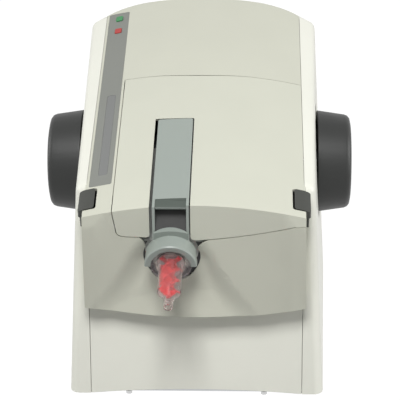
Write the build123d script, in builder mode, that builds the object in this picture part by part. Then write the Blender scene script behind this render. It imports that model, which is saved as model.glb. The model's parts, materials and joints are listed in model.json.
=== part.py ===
from build123d import *
import math
import os

os.makedirs("parts", exist_ok=True)

# Impression material mixer, in millimetres. +Z is up, the mixing tip points to -Y, +X is to the right as seen
# from the front. The origin is at the middle of the bottom face of the bounding box.

# Sloping top deck. Points on it are given as x (to the right), u (up the slope) and n (square to the slope).
deck_slope = 16.7
deck_y = -141.05
deck_z = 211.0
deck_length = 366.0
core_half = 109.0
crown_radius = 420.0
shoulder_angle = 27.0

# Housing shells
wall = 3.0
seam = 0.4
lid_gap = 0.8
corner_radius = 10.0
floor_z = 4.0
front_y = -121.05
front_lean = 7.5
rear_y = 208.95
base_half_front = 131.0
base_half_rear = 142.4
side_lean = 0.052

# Front mask with its scoop
mask_bottom_z = 113.0
mask_bottom_drop = 6.0
mask_top_bulge = 0.5
mask_bottom_bulge = 13.5
mask_flare = 3.0
mask_lean = 5.9
mask_low_reach = 3.4
# Scoop: place along the tip's axis, half width and half depth of each section
scoop_sections = (
    (-12.0, 28.5, 28.5), (-16.0, 31.0, 30.0), (-20.0, 38.0, 32.0), (-25.0, 56.0, 35.0), (-32.0, 86.0, 40.0),
    (-42.0, 126.0, 46.0), (-56.0, 170.0, 56.0),
)

# Lid
lid_left = -80.0
hinge_u = 216.0
hinge_depth = 4.2
lid_edge_r = 4.9
lid_edge_gap = 0.55
skirt_left_z = 193.0
skirt_mid_z = 192.2
skirt_right_z = 207.0

# Mixing tip axis, parallel to the deck
tip_x = -22.5
tip_n = -40.0
tip_flange_r = 20.5
tip_flange_thick = 5.3
tip_rear_u = -20.2
tip_boss_r = 16.0
tip_boss_length = 1.5
tip_tube_r = 11.9
tip_tube_length = 36.0
tip_cone_length = 8.5
tip_nozzle_r = 5.3
tip_nozzle_length = 13.3
tip_wall = 1.3
rotor_clearance = 0.4

# Locking lever and its collar
lever_width = 36.0
lever_pivot_u = 136.0
lever_barrel_r = 5.4
lever_pivot_depth = 6.1
lever_sweep_r = 9.2
lever_rise = 0.8
lever_pin_r = 1.5
collar_outer_r = 26.0
collar_clearance = 0.6
collar_front_u = -27.5
collar_rear_u = -9.8
collar_lip = 1.7
collar_lip_r = 19.6
collar_leg_n = -39.5
collar_flat = 24.9
strap_front_u = -10.5
strap_rear_u = -4.3
strap_top_n = -8.4
strap_r = 54.0

# Cartridge
barrel_front_u = -8.0
barrel_length = 151.0
large_bore_r = 25.0
small_bore_r = 13.0
barrel_wall = 2.0
large_x = 14.0
small_x = -50.0

# Plunger drive
travel = 130.0
disc_thick = 8.0
disc_clearance = 0.4
rack_width = 10.0
rack_height = 17.0
gear_module = 2.0
pinion_teeth = 30
pinion_width = 9.0
shaft_r = 5.0
shaft_u = 189.0
drive_module = 1.5
drive_teeth = 56
motor_teeth = 16
drive_gear_x = 54.0
drive_gear_width = 8.0
backlash = 0.36
running = 0.05

# Handwheels
wheel_r = 55.0
wheel_rim_r = 50.5
wheel_inner_x = 126.3
wheel_outer_x = 163.7
well_r = 62.0
well_x = 123.6

# Bay frame and frame plates
bay_left = -76.0
bay_right = 48.0
bay_floor_n = -67.6
bay_sheet = 2.4
plate_thick = 2.5

# Small controls
button_inner_x = 99.0
button_outer_x = 115.0
button_front_u = 11.0
button_rear_u = 41.5
button_rise = 1.0
button_travel = 2.0
key_size = 7.5
key_travel = 0.8
strip_thick = 0.9

pinion_r = gear_module * pinion_teeth / 2
drive_gear_r = drive_module * drive_teeth / 2
motor_gear_r = drive_module * motor_teeth / 2
rack_pitch_n = tip_n - 8.0
shaft_n = rack_pitch_n - pinion_r
crown = crown_radius - math.sqrt(crown_radius**2 - core_half**2)

slope = math.radians(deck_slope)
deck = Plane(
    origin=(0, deck_y, deck_z), x_dir=(1, 0, 0), z_dir=(0, -math.sin(slope), math.cos(slope))
)


def spot(x, u, n):
    """World place of a point given in deck measures."""
    return deck.from_local_coords(Vector(x, u, n))


def deck_at(x=0.0, u=0.0, n=0.0):
    """Plane along the deck: local x is X, local y runs up the slope."""
    return Plane(origin=spot(x, u, n), x_dir=(1, 0, 0), z_dir=deck.z_dir)


def across_at(u, x=0.0, n=0.0):
    """Plane square to the slope, facing down it: local x is X, local y is n."""
    return Plane(origin=spot(x, u, n), x_dir=(1, 0, 0), z_dir=-deck.y_dir)


def side_at(x, u=0.0, n=0.0):
    """Plane seen from the right: local x runs up the slope, local y is n."""
    return Plane(origin=spot(x, u, n), x_dir=deck.y_dir, z_dir=(1, 0, 0))


shaft_y = spot(0, shaft_u, shaft_n).Y
shaft_z = spot(0, shaft_u, shaft_n).Z


def roof_height(x, inset=0.0):
    """Height of the crowned roof above the deck reference plane."""
    radius = crown_radius - inset
    return math.sqrt(radius**2 - x**2) - (crown_radius - crown)


def half_width(y, z):
    """Half width of the flared cheeks at a place."""
    front_station = front_y + 5
    rear_station = rear_y - 8
    share = (y - front_station) / (rear_station - front_station)
    base = base_half_front + (base_half_rear - base_half_front) * share
    return base - side_lean * z


def keep(block, name):
    """Label a finished piece and write it."""
    block.part.label = name
    export_step(block.part, f"parts/{name}.step")


def roof_form(inset):
    """Everything under the crowned roof with its sloping shoulders."""
    reach = 50.0
    drop = reach * math.tan(math.radians(shoulder_angle))
    edge = roof_height(core_half, inset)
    with BuildPart() as form:
        with BuildSketch(across_at(deck_length + 60)):
            with BuildLine():
                ThreePointArc((-core_half, edge), (0, roof_height(0, inset)), (core_half, edge))
                Polyline(
                    (core_half, edge),
                    (core_half + reach, edge - drop),
                    (core_half + reach, -400),
                    (-core_half - reach, -400),
                    (-core_half - reach, edge - drop),
                    (-core_half, edge),
                )
            make_face()
        extrude(amount=deck_length + 180)
    return form.part


def body_form(inset):
    """Flared body between the cheeks, from the floor line to the roof."""
    low = floor_z if inset == 0 else -20.0
    high = 350.0
    lean = math.tan(math.radians(front_lean))
    front = front_y + inset
    rear = rear_y - inset
    with BuildPart() as form:
        for y in (front_y - 10, rear_y + 10):
            with BuildSketch(Plane.XZ.offset(-y)):
                bottom_half = half_width(y, low) - inset
                top_half = half_width(y, high) - inset
                Polygon(
                    (-bottom_half, low), (bottom_half, low), (top_half, high), (-top_half, high), align=None
                )
        loft(ruled=True)
        with BuildSketch(Plane.YZ):
            Polygon(
                (front + (low - floor_z) * lean, low),
                (rear, low),
                (rear, high),
                (front + (high - floor_z) * lean, high),
                align=None,
            )
        extrude(amount=200, both=True, mode=Mode.INTERSECT)
        add(roof_form(inset), mode=Mode.INTERSECT)
        outline = [
            edge
            for edge in form.edges()
            if edge.center().Z > low + 5 and not on_crease(edge)
        ]
        fillet(outline, radius=corner_radius - inset)
    return form.part


def on_crease(edge):
    """True for the crease between crown and shoulder, which stays sharp."""
    ends = (edge @ 0, edge @ 1)
    return all(abs(abs(end.X) - core_half) < 0.5 for end in ends) and edge.length > 200


def scoop_form(inset):
    """Bell under the mixing tip that flares down and outward."""
    with BuildPart() as form:
        for u, wide, deep in scoop_sections:
            with BuildSketch(across_at(u, tip_x, tip_n)):
                Ellipse(wide + inset, deep + inset)
        loft()
    return form.part


def nose_form(inset):
    """Overhanging front of the housing, which carries the mask."""
    back = front_y + 60
    low = mask_bottom_z - 20
    high = deck_z + 60
    with BuildPart() as form:
        for z in (low, high):
            share = (z - low) / (high - low)
            half = core_half + mask_flare * (1 - share) - inset
            side = deck_y - mask_low_reach + mask_lean * share + inset
            middle = side - mask_top_bulge * share - mask_bottom_bulge * (1 - share)
            with BuildSketch(Plane.XY.offset(z)):
                with BuildLine():
                    ThreePointArc((-half, side), (0, middle), (half, side))
                    Polyline((half, side), (half, back), (-half, back), (-half, side))
                make_face()
        loft(ruled=True)
        with BuildSketch(Plane.XZ.offset(-back - 5)):
            with BuildLine():
                edge_z = mask_bottom_z + inset
                ThreePointArc(
                    (-core_half - 6, edge_z), (0, edge_z - mask_bottom_drop), (core_half + 6, edge_z)
                )
                Polyline(
                    (core_half + 6, edge_z),
                    (core_half + 6, high + 5),
                    (-core_half - 6, high + 5),
                    (-core_half - 6, edge_z),
                )
            make_face()
        extrude(amount=150, mode=Mode.INTERSECT)
        add(roof_form(inset), mode=Mode.INTERSECT)
    return form.part


# Housing solids that the separate mouldings are cut from
body_outer = body_form(0)
body_inner = body_form(wall)
scoop = scoop_form(0)
nose_outer = nose_form(0)
nose_inner = nose_form(wall) - scoop_form(wall)


def middle_slab(half):
    """Space between the two cheeks."""
    with BuildPart() as slab:
        Box(2 * half, 900, 900)
    return slab.part


def ahead_of_cheeks(gap, high):
    """Space in front of the leaning front plane of the cheeks, up to a height."""
    lean = math.tan(math.radians(front_lean))
    with BuildPart() as space:
        with BuildSketch(Plane.YZ):
            Polygon(
                (front_y - gap, floor_z),
                (front_y - gap + (high - floor_z) * lean, high),
                (front_y - 120, high),
                (front_y - 120, floor_z),
                align=None,
            )
        extrude(amount=200, both=True)
    return space.part


def above(height):
    with BuildPart(Plane.XY.offset(height)) as space:
        Box(500, 900, 500, align=(Align.CENTER, Align.CENTER, Align.MIN))
    return space.part


rear_split_z = 268.0
front_panel_top = 136.0

nose_solid = nose_outer & (ahead_of_cheeks(seam, 400) + (above(front_panel_top + seam) & middle_slab(core_half - 0.2)))
upper_solid = ((body_outer & middle_slab(core_half - 0.2)) & above(front_panel_top + seam)) + nose_solid - scoop
upper_skin = upper_solid - (body_inner + nose_inner)


def lid_region(grow):
    """Space that the lid takes up in the skin, with its rear edge round about the hinge."""
    left = lid_left - grow
    reach = core_half + 20
    edge_r = lid_edge_r + (lid_edge_gap if grow else 0)
    with BuildPart() as region:
        for low_x, low_u, low_n in ((left, 5, -4.5 - grow), (100 - grow, -60, -9 - grow)):
            with BuildSketch(deck_at(n=low_n)):
                with Locations(((low_x + reach) / 2, (low_u + hinge_u) / 2)):
                    Rectangle(reach - low_x, hinge_u - low_u)
            extrude(amount=60)
        with BuildSketch(side_at(left)):
            with Locations((hinge_u, hinge_n)):
                Circle(edge_r)
            Polygon(
                (hinge_u - 10, hinge_n), (hinge_u - 10, -30), (hinge_u + edge_r, -30), (hinge_u + edge_r, hinge_n),
                align=None,
            )
        extrude(amount=reach - left)
        with BuildSketch(Plane.XZ.offset(-deck_y - 8)):
            with BuildLine():
                Polyline(
                    (reach, skirt_right_z + 1 - grow),
                    (reach, 320),
                    (left, 320),
                    (left, deck_z + 7),
                    (left + 3.8, skirt_left_z + 3.5 - grow),
                    (left + 5.2, skirt_left_z + 1.2 - grow),
                    (left + 8, skirt_left_z - grow),
                    (left + 12, skirt_left_z - 0.6 - grow),
                    (tip_x - 24.5, skirt_mid_z - grow),
                    (tip_x - 22.0, skirt_mid_z + 0.8 - grow),
                    (tip_x - 21.1, skirt_mid_z + 3.0 - grow),
                    (tip_x + 19.2, skirt_mid_z + 1.0 - grow),
                    (tip_x + 20.2, skirt_mid_z - 1.4 - grow),
                    (tip_x + 22.8, skirt_mid_z - 2.4 - grow),
                )
                ThreePointArc(
                    (tip_x + 22.8, skirt_mid_z - 2.4 - grow),
                    ((tip_x + reach) / 2 + 8, (skirt_mid_z + skirt_right_z) / 2 - 3.8 - grow),
                    (reach, skirt_right_z + 1 - grow),
                )
            make_face()
        extrude(amount=32)
    return region.part


def deck_box(x_range, u_range, n_range, radius=0.0):
    """Block along the deck with rounded corners in plan."""
    with BuildPart() as block:
        with BuildSketch(deck_at(n=n_range[0])):
            with Locations(((x_range[0] + x_range[1]) / 2, (u_range[0] + u_range[1]) / 2)):
                if radius:
                    RectangleRounded(x_range[1] - x_range[0], u_range[1] - u_range[0], radius)
                else:
                    Rectangle(x_range[1] - x_range[0], u_range[1] - u_range[0])
        extrude(amount=n_range[1] - n_range[0])
    return block.part


def cross_rod(x_range, u, n, radius):
    """Round bar along X."""
    with BuildPart() as bar:
        with BuildSketch(side_at(x_range[0], u, n)):
            Circle(radius)
        extrude(amount=x_range[1] - x_range[0])
    return bar.part


def along_rod(u_range, x, n, radius):
    """Round bar along the slope."""
    with BuildPart() as bar:
        with BuildSketch(across_at(u_range[1], x, n)):
            Circle(radius)
        extrude(amount=u_range[1] - u_range[0])
    return bar.part


def world_box(x_range, y_range, z_range, radius=0.0):
    """Upright block with rounded corners in plan."""
    with BuildPart() as block:
        with BuildSketch(Plane.XY.offset(z_range[0])):
            with Locations(((x_range[0] + x_range[1]) / 2, (y_range[0] + y_range[1]) / 2)):
                if radius:
                    RectangleRounded(x_range[1] - x_range[0], y_range[1] - y_range[0], radius)
                else:
                    Rectangle(x_range[1] - x_range[0], y_range[1] - y_range[0])
        extrude(amount=z_range[1] - z_range[0])
    return block.part


def axle_rod(x_range, radius, z=shaft_z):
    """Round bar along X on the line of the wheels."""
    with BuildPart() as bar:
        with BuildSketch(Plane.YZ.offset(x_range[0])):
            with Locations((shaft_y, z)):
                Circle(radius)
        extrude(amount=x_range[1] - x_range[0])
    return bar.part


# Openings in the housing
lever_slot = deck_box((tip_x - 21.1, tip_x + 19.2), (-60, lever_pivot_u + 7.5), (-21.5, 60), 3.0)
with BuildPart() as keyhole:
    with BuildSketch(Plane.XZ.offset(-deck_y - 12)):
        Polygon(
            (tip_x - 25.4, 168), (tip_x + 25.4, 168), (tip_x + 25.4, 179), (tip_x + 26.6, 181.4),
            (tip_x + 28.1, 183.4), (tip_x + 30.4, 186.1), (tip_x + 33.8, 188.5), (tip_x + 37.5, 190.2),
            (tip_x + 43, 191), (tip_x + 43, 197), (tip_x - 37, 197), (tip_x - 37, 192.9),
            (tip_x - 32.9, 192.2), (tip_x - 29.7, 190.1), (tip_x - 27.8, 187.7), (tip_x - 26.5, 184.9),
            (tip_x - 25.7, 182.1), (tip_x - 25.4, 178.6),
            align=None,
        )
    extrude(amount=40)
hinge_n = crown - hinge_depth
knuckle_r = 2.6
hinge_pin_r = 1.2

# Control strip outline and keys on the left rail
strip_x = (-106.3, -83.3)
strip_u = (45.0, 355.0)
window_x = (-98.0, -88.5)
window_u = (61.0, 197.0)
key_x = -94.3
key_places = {"green_key": 343.0, "red_key": 319.0}
strip_space = deck_box(strip_x, strip_u, (-30, 40), 2.0)
strip_body = deck_box(
    (strip_x[0] + 0.2, strip_x[1] - 0.2), (strip_u[0] + 0.2, strip_u[1] - 0.2), (-30, 40), 1.8
)
window_space = deck_box(window_x, window_u, (-30, 40), 2.5)
window_body = deck_box(
    (window_x[0] + 0.15, window_x[1] - 0.15), (window_u[0] + 0.15, window_u[1] - 0.15), (-30, 40), 2.4
)
pointer_slot = deck_box((window_x[0] + 2.0, window_x[1] - 2.0), (window_u[0] + 0.6, window_u[1] - 0.6), (-30, 40), 0.8)


def key_space(u, gap):
    size = key_size + 2 * gap
    return deck_box((key_x - size / 2, key_x + size / 2), (u - size / 2 - 0.6, u + size / 2 + 0.6), (-30, 40), 1.5 + gap)


def button_prism(side, grow_in, grow, low):
    """Plan outline of a start button, extruded through the deck."""
    inner = button_inner_x - grow_in
    outer = button_outer_x + grow
    x_range = (inner, outer) if side > 0 else (-outer, -inner)
    return deck_box(x_range, (button_front_u - grow, button_rear_u + grow), (low, 30), 2.5)


# Upper housing: left rail, rear cover and scooped front mask
with BuildPart() as upper_housing:
    add(upper_skin)
    rear_cut = world_box((-150, 150), (rear_y - 60, rear_y + 40), (0, rear_split_z))
    add(rear_cut, mode=Mode.SUBTRACT)
    add(lid_region(lid_gap), mode=Mode.SUBTRACT)
    add(keyhole.part, mode=Mode.SUBTRACT)
    add(strip_space - roof_form(strip_thick + 0.05), mode=Mode.SUBTRACT)
    add(pointer_slot, mode=Mode.SUBTRACT)
    for u in key_places.values():
        add(key_space(u, 0.3), mode=Mode.SUBTRACT)
    for side in (-1, 1):
        add(button_prism(side, 2.0, 0.6, -12.5), mode=Mode.SUBTRACT)
    # Lip under the lid's left and rear edges
    lip_roof = roof_form(wall + 0.6) - roof_form(wall + 2.6)
    lip_u = (30, hinge_u - 9)
    add(deck_box((-83.5, lid_left + 5), lip_u, (-40, 40)) & lip_roof)
    add(deck_box((-83.5, lid_left - 1.2), lip_u, (-40, 40)) & (roof_form(2) - roof_form(wall + 2.6)))
    # Hinge knuckles for the lid on hooked arms that pass under its rear edge
    for low, high in ((-18, -8.3), (8.3, 18)):
        add(cross_rod((low, high), hinge_u, hinge_n, knuckle_r))
        add(deck_box((low, high), (hinge_u - 1.5, hinge_u + 1), (hinge_n - 6, hinge_n)))
        add(deck_box((low, high), (hinge_u - 1.5, hinge_u + 9), (hinge_n - 7.8, hinge_n - 5.4)))
        add(deck_box((low, high), (hinge_u + 6.2, hinge_u + 9), (hinge_n - 7.8, hinge_n + 2)))
    add(cross_rod((-18, 18), hinge_u, hinge_n, hinge_pin_r + 0.1), mode=Mode.SUBTRACT)
keep(upper_housing, "upper_housing")

# Hinged lid
with BuildPart() as lid:
    add(upper_skin)
    add(lid_region(0), mode=Mode.INTERSECT)
    add(lever_slot, mode=Mode.SUBTRACT)
    add(button_prism(1, 2.0, 0.6, -12.5), mode=Mode.SUBTRACT)
    for low, high in ((-18.4, -7.9), (7.9, 18.4)):
        add(cross_rod((low, high), hinge_u, hinge_n, knuckle_r + 0.4), mode=Mode.SUBTRACT)
    add(cross_rod((-7.9, 7.9), hinge_u, hinge_n, knuckle_r))
    add(deck_box((-7.9, 7.9), (hinge_u - 5, hinge_u), (hinge_n - 1.6, hinge_n + 2)))
    lever_rear = cross_rod((tip_x - 21.1, tip_x + 19.2), lever_pivot_u, crown - lever_pivot_depth, lever_sweep_r)
    add(lever_rear, mode=Mode.SUBTRACT)
    add(cross_rod((-18, 18), hinge_u, hinge_n, hinge_pin_r + 0.1), mode=Mode.SUBTRACT)
    # Stiffening ribs under the lid
    rib_roof = roof_form(wall - 0.2) - roof_form(wall + 4)
    for x in (-60.0, 45.0, 85.0):
        add(deck_box((x - 1, x + 1), (24, hinge_u - 12), (-30, 40)) & rib_roof)
    add(deck_box((-62, 86), (hinge_u - 26, hinge_u - 24), (-30, 40)) & rib_roof)
keep(lid, "lid")

with BuildPart() as lid_hinge_pin:
    add(cross_rod((-17.8, 17.8), hinge_u, hinge_n, hinge_pin_r))
keep(lid_hinge_pin, "lid_hinge_pin")

# Control strip, window, pointer and keys
with BuildPart() as control_strip:
    add(roof_form(0) - roof_form(strip_thick))
    add(strip_body, mode=Mode.INTERSECT)
    add(window_space, mode=Mode.SUBTRACT)
    for u in key_places.values():
        add(key_space(u, 0.3), mode=Mode.SUBTRACT)
keep(control_strip, "control_strip")

with BuildPart() as level_window:
    add(roof_form(0.1) - roof_form(strip_thick))
    add(window_body, mode=Mode.INTERSECT)
keep(level_window, "level_window")

for name, u in key_places.items():
    with BuildPart() as key:
        add(roof_form(-0.9) - roof_form(wall + 1.4))
        add(key_space(u, 0), mode=Mode.INTERSECT)
        add(
            (roof_form(wall + 0.4) - roof_form(wall + 1.4))
            & deck_box((key_x - 6, key_x + 6), (u - 6.5, u + 6.5), (-30, 40), 1.0)
        )
    keep(key, name)

# Side panels with their wheel wells
for side, name in ((-1, "left_side_panel"), (1, "right_side_panel")):
    reach = (well_x, well_x + 40) if side > 0 else (-well_x - 40, -well_x)
    pan = (well_x - 2.8, well_x + 20) if side > 0 else (-well_x - 20, -well_x + 2.8)
    bore = (well_x - 10, well_x + 40) if side > 0 else (-well_x - 40, -well_x + 10)
    with BuildPart() as panel:
        add(body_outer - body_inner)
        add(axle_rod(pan, well_r + 3) & body_outer)
        add(middle_slab(core_half + 0.2), mode=Mode.SUBTRACT)
        add(world_box((side * 250 - 250, side * 250 + 250), (-400, 400), (0, 400)), mode=Mode.INTERSECT)
        add(axle_rod(reach, well_r), mode=Mode.SUBTRACT)
        add(axle_rod(bore, shaft_r + 3.5), mode=Mode.SUBTRACT)
        add(button_prism(side, 2.0, 0.6, -12.5), mode=Mode.SUBTRACT)
    keep(panel, name)

# Lower front panel with an arched bottom edge
with BuildPart() as front_panel:
    add(body_outer - body_inner)
    add(world_box((-core_half + 0.2, core_half - 0.2), (front_y - 20, front_y + 40), (0, front_panel_top)), mode=Mode.INTERSECT)
    with BuildSketch(Plane.XZ.offset(-front_y - 30)):
        with BuildLine():
            ThreePointArc((-core_half, floor_z), (0, floor_z + 4.5), (core_half, floor_z))
            Polyline((core_half, floor_z), (core_half, -5), (-core_half, -5), (-core_half, floor_z))
        make_face()
    extrude(amount=60, mode=Mode.SUBTRACT)
keep(front_panel, "front_panel")

# Rear panel with vents, mains inlet and switch openings
inlet_x = -70.0
inlet_z = 40.0
switch_x = -28.0
with BuildPart() as rear_panel:
    add(body_outer - body_inner)
    add(world_box((-core_half + 0.2, core_half - 0.2), (rear_y - 40, rear_y + 20), (0, rear_split_z - seam)), mode=Mode.INTERSECT)
    with BuildSketch(Plane.XZ.offset(-rear_y - 10)):
        with Locations((inlet_x, inlet_z)):
            RectangleRounded(28.4, 20.8, 3)
        with Locations((switch_x, inlet_z)):
            Rectangle(19.6, 13.4)
        with GridLocations(0, 11, 1, 6):
            with Locations((45, 190)):
                SlotOverall(70, 4)
        with GridLocations(0, 11, 1, 4):
            with Locations((45, 60)):
                SlotOverall(70, 4)
    extrude(amount=60, mode=Mode.SUBTRACT)
keep(rear_panel, "rear_panel")


def gear_outline(module, teeth, phase):
    """Points of a spur gear's outline; one tooth is centred on the phase angle."""
    pitch_r = module * teeth / 2
    base_r = pitch_r * math.cos(math.radians(20))
    roll = math.tan(math.radians(20)) - math.radians(20)
    half = math.pi / (2 * teeth) - backlash / (2 * pitch_r)
    sides = []
    for radius in (pitch_r - 1.25 * module, pitch_r, pitch_r + module):
        angle = math.acos(min(1, base_r / radius))
        sides.append((radius, half + roll - (math.tan(angle) - angle)))
    points = []
    for k in range(teeth):
        middle = math.radians(phase) + 2 * math.pi * k / teeth
        for radius, spread in sides:
            points.append((radius * math.cos(middle - spread), radius * math.sin(middle - spread)))
        for radius, spread in reversed(sides):
            points.append((radius * math.cos(middle + spread), radius * math.sin(middle + spread)))
    return points


# Mixing tip: clear flange, tube and nozzle, open from end to end
flange_front = tip_rear_u - tip_flange_thick
boss_front = flange_front - tip_boss_length
tube_front = boss_front - tip_tube_length
cone_front = tube_front - tip_cone_length
nozzle_front = cone_front - tip_nozzle_length
tube_bore = tip_tube_r - tip_wall
with BuildPart() as mixing_tip:
    with BuildSketch(side_at(tip_x, 0, tip_n)):
        Polygon(
            (tip_rear_u, tip_boss_r - 1.5),
            (tip_rear_u, tip_flange_r),
            (flange_front, tip_flange_r),
            (flange_front, tip_boss_r),
            (boss_front, tip_boss_r - 0.8),
            (boss_front, tip_tube_r + 0.5),
            (boss_front - 1.0, tip_tube_r),
            (tube_front, tip_tube_r - 0.3),
            (cone_front, tip_nozzle_r),
            (nozzle_front, tip_nozzle_r - 0.9),
            (nozzle_front, tip_nozzle_r - 2.2),
            (cone_front, tip_nozzle_r - 1.6),
            (tube_front, tube_bore - 0.3),
            (flange_front + 0.2, tube_bore),
            (flange_front + 0.2, tip_boss_r - 1.5),
            align=None,
        )
    revolve(axis=Axis(spot(tip_x, 0, tip_n), deck.y_dir))
keep(mixing_tip, "mixing_tip")

# Mixing rotor: hub with arms, then helical paddles down the tube
rotor_r = tube_bore - rotor_clearance
rotor_rear = tip_rear_u - 0.6
helix_rear = boss_front - 0.6
helix_front = tube_front + 1.0
hex_r = 3.4
rotor_rows = 5
vane_tilt = math.radians(40)


def vane(u, angle, length):
    """One tilted vane of the rotor, trimmed to the tube's bore."""
    radial = Vector(math.cos(angle), 0, 0) + deck.z_dir * math.sin(angle)
    tangent = Vector(-math.sin(angle), 0, 0) + deck.z_dir * math.cos(angle)
    normal = tangent * math.cos(vane_tilt) + deck.y_dir * math.sin(vane_tilt)
    with BuildPart() as blade:
        with BuildSketch(Plane(origin=spot(tip_x, u, tip_n) - normal * 0.8, x_dir=radial, z_dir=normal)):
            with Locations((rotor_r / 2 + 0.5, 0)):
                Rectangle(rotor_r - 0.4, length)
        extrude(amount=1.6)
        add(along_rod((u - length, u + length), tip_x, tip_n, rotor_r), mode=Mode.INTERSECT)
    return blade.part


with BuildPart() as mixing_rotor:
    add(along_rod((cone_front + 1.5, rotor_rear), tip_x, tip_n, 2.0))
    add(along_rod((boss_front - 1.0, rotor_rear), tip_x, tip_n, 6.0))
    for turn in (45.0, 135.0):
        with BuildSketch(across_at(rotor_rear - 1.0, tip_x, tip_n)):
            Rectangle(27, 3.6, rotation=turn)
        extrude(amount=3.2)
    row_pitch = (helix_rear - helix_front) / rotor_rows
    for row in range(rotor_rows):
        middle = helix_rear - (row + 0.5) * row_pitch
        for turn in range(4):
            add(vane(middle, math.radians(90 * turn + 38 * row), row_pitch * 1.25))
    with BuildSketch(side_at(tip_x - 0.8, 0, tip_n)):
        Polygon(
            (helix_front, -8.6), (helix_front, 8.6), (cone_front + 1, 1.8), (cone_front + 1, -1.8), align=None
        )
    extrude(amount=1.6)
    with BuildSketch(deck_at(tip_x, 0, tip_n - 0.8)):
        Polygon(
            (-8.6, helix_front), (8.6, helix_front), (1.8, cone_front + 1), (-1.8, cone_front + 1), align=None
        )
    extrude(amount=1.6)
    with BuildSketch(across_at(rotor_rear + 1, tip_x, tip_n)):
        RegularPolygon(hex_r + 0.25, 6)
    extrude(amount=6.0, mode=Mode.SUBTRACT)
keep(mixing_rotor, "mixing_rotor")

# Mixer drive shaft with its hexagonal nose, running from the motor to the rotor
motor_u = (157.0, 193.5)
with BuildPart() as mixer_shaft:
    add(along_rod((-14, motor_u[0] - 2.0), tip_x, tip_n, 4.0))
    with BuildSketch(across_at(-13, tip_x, tip_n)):
        RegularPolygon(hex_r, 6)
    extrude(amount=-rotor_rear - 13 + 4.0)
    with BuildSketch(across_at(motor_u[0] - 2.0, tip_x, tip_n)):
        Circle(6.5)
    extrude(amount=10)
keep(mixer_shaft, "mixer_shaft")

with BuildPart() as mixer_motor:
    add(along_rod(motor_u, tip_x, tip_n, 17.0))
    rims = mixer_motor.edges().filter_by(GeomType.CIRCLE)
    chamfer(rims, length=1.2)
    add(along_rod((motor_u[0] - 1.6, motor_u[0] + 1), tip_x, tip_n, 8.5))
    add(along_rod((motor_u[1] - 1, motor_u[1] + 1.6), tip_x, tip_n, 6.0))
keep(mixer_motor, "mixer_motor")

with BuildPart() as mixer_motor_mount:
    add(deck_box((tip_x - 15, tip_x + 15), (162, 188), (bay_floor_n, tip_n)))
    add(along_rod((158, 192), tip_x, tip_n, 17.15), mode=Mode.SUBTRACT)
    add(deck_box((tip_x - 9, tip_x + 9), (158, 192), (bay_floor_n + 3, tip_n - 18)), mode=Mode.SUBTRACT)
keep(mixer_motor_mount, "mixer_motor_mount")

# Cartridge yoke: manifold head, spine, rear bridge and the post that carries the lever
barrel_rear_u = barrel_front_u + barrel_length
barrel_seat_u = 8.0
post_x = (-28.0, -17.0)
lever_pivot_n = crown - lever_pivot_depth
barrel_spots = ((large_x, large_bore_r), (small_x, small_bore_r))
with BuildPart() as cartridge_yoke:
    for x, radius in barrel_spots:
        add(along_rod((barrel_front_u, barrel_seat_u), x, tip_n, radius + barrel_wall))
    add(deck_box((small_x, large_x), (barrel_front_u, barrel_seat_u), (tip_n - 13, tip_n + 13)))
    add(deck_box(post_x, (barrel_front_u, barrel_rear_u), (tip_n + 9.5, tip_n + 13)))
    add(deck_box((small_x, large_x), (126, barrel_rear_u), (tip_n + 9.5, tip_n + 14)))
    for x, radius in barrel_spots:
        add(along_rod((barrel_seat_u, barrel_rear_u + 5), x, tip_n, radius + barrel_wall + running), mode=Mode.SUBTRACT)
    add(along_rod((tip_rear_u + 0.4, barrel_front_u + 2), tip_x, tip_n, 13.9))
    add(along_rod((-60, 9), tip_x, tip_n, 7.0), mode=Mode.SUBTRACT)
    # Room for the lid's skirt over the head's front edge
    add(deck_box((bay_left, bay_right), (barrel_front_u - 1, 0.8), (-24, 0)), mode=Mode.SUBTRACT)
    with BuildSketch(side_at(post_x[0], 0, 0)):
        Polygon(
            (127, tip_n + 9.5), (143, tip_n + 9.5),
            (lever_pivot_u + 3.6, lever_pivot_n), (lever_pivot_u - 3.6, lever_pivot_n),
            align=None,
        )
        with Locations((lever_pivot_u, lever_pivot_n)):
            Circle(3.6)
            Circle(lever_pin_r + 0.1, mode=Mode.SUBTRACT)
    extrude(amount=post_x[1] - post_x[0])
keep(cartridge_yoke, "cartridge_yoke")

for name, (x, radius) in zip(("large_barrel", "small_barrel"), barrel_spots):
    with BuildPart() as barrel:
        with BuildSketch(across_at(barrel_rear_u, x, tip_n)):
            Circle(radius + barrel_wall)
            Circle(radius, mode=Mode.SUBTRACT)
        extrude(amount=barrel_rear_u - barrel_seat_u - running)
    keep(barrel, name)

with BuildPart() as lever_pin:
    add(cross_rod((tip_x - 17.6, tip_x + 17.6), lever_pivot_u, lever_pivot_n, lever_pin_r))
keep(lever_pin, "lever_pin")

# Collar: half ring that hooks over the tip's flange
collar_bore_r = tip_flange_r + collar_clearance
lip_end = collar_front_u + collar_lip
with BuildPart() as collar:
    with BuildSketch(side_at(tip_x, 0, tip_n)):
        Polygon(
            (collar_rear_u, collar_bore_r),
            (collar_rear_u, collar_outer_r),
            (collar_front_u + 1.4, collar_outer_r),
            (collar_front_u + 0.3, collar_outer_r - 0.8),
            (collar_front_u, collar_outer_r - 1.6),
            (collar_front_u, collar_lip_r + 0.6),
            (collar_front_u + 0.6, collar_lip_r),
            (lip_end, collar_lip_r),
            (lip_end, collar_bore_r),
            align=None,
        )
    revolve(axis=Axis(spot(tip_x, 0, tip_n), deck.y_dir))
    beneath = deck_box((tip_x - 40, tip_x + 40), (collar_front_u - 5, 5), (collar_leg_n - 40, collar_leg_n))
    add(beneath, mode=Mode.SUBTRACT)
    # Flats that let the ring's rear half pass the keyhole
    for low in (tip_x - 40, tip_x + collar_flat):
        add(
            deck_box((low, low + 40 - collar_flat), (collar_front_u + 7.5, 5), (-60, 0)),
            mode=Mode.SUBTRACT,
        )

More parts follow.
